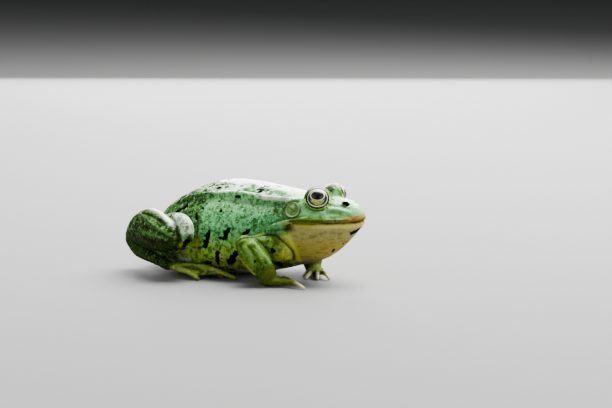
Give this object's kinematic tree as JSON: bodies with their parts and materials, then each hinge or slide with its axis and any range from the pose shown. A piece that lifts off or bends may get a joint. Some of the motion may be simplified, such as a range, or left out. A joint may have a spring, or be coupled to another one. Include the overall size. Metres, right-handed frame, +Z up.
{
  "type": "european green water frog",
  "caption": "Life-size still model of a European green water frog, sitting with folded hind legs and bent arms, with raised eyes, back folds and webbed hind feet.",
  "frame": {"origin": "under the middle of the model's box, on the plane that it rests on", "axes": "+X towards the snout, +Y to the frog's left, +Z up"},
  "size_m": [0.089, 0.0594, 0.0335],
  "materials": {
    "limb_skin": "wet satin, olive green with dark mottling",
    "back_skin": "wet satin, grey-green with pale folds and dark blotches",
    "throat_skin": "moist satin, creamy yellow to brown",
    "eardrum_skin": "smooth satin, yellow-green",
    "eye": "wet gloss"
  },
  "bodies": {
    "root": {"right_upper_arm": "limb_skin", "right_forearm": "limb_skin", "right_hand": "limb_skin", "right_thigh": "limb_skin", "right_shank": "limb_skin", "right_tarsus": "limb_skin", "right_foot": "limb_skin", "left_upper_arm": "limb_skin", "left_forearm": "limb_skin", "left_hand": "limb_skin", "left_thigh": "limb_skin", "left_shank": "limb_skin", "left_tarsus": "limb_skin", "left_foot": "limb_skin", "trunk": "back_skin", "head": "back_skin", "lower_jaw": "throat_skin", "right_eardrum": "eardrum_skin", "left_eardrum": "eardrum_skin", "right_eye": "eye", "left_eye": "eye"}
  },
  "joints": []
}
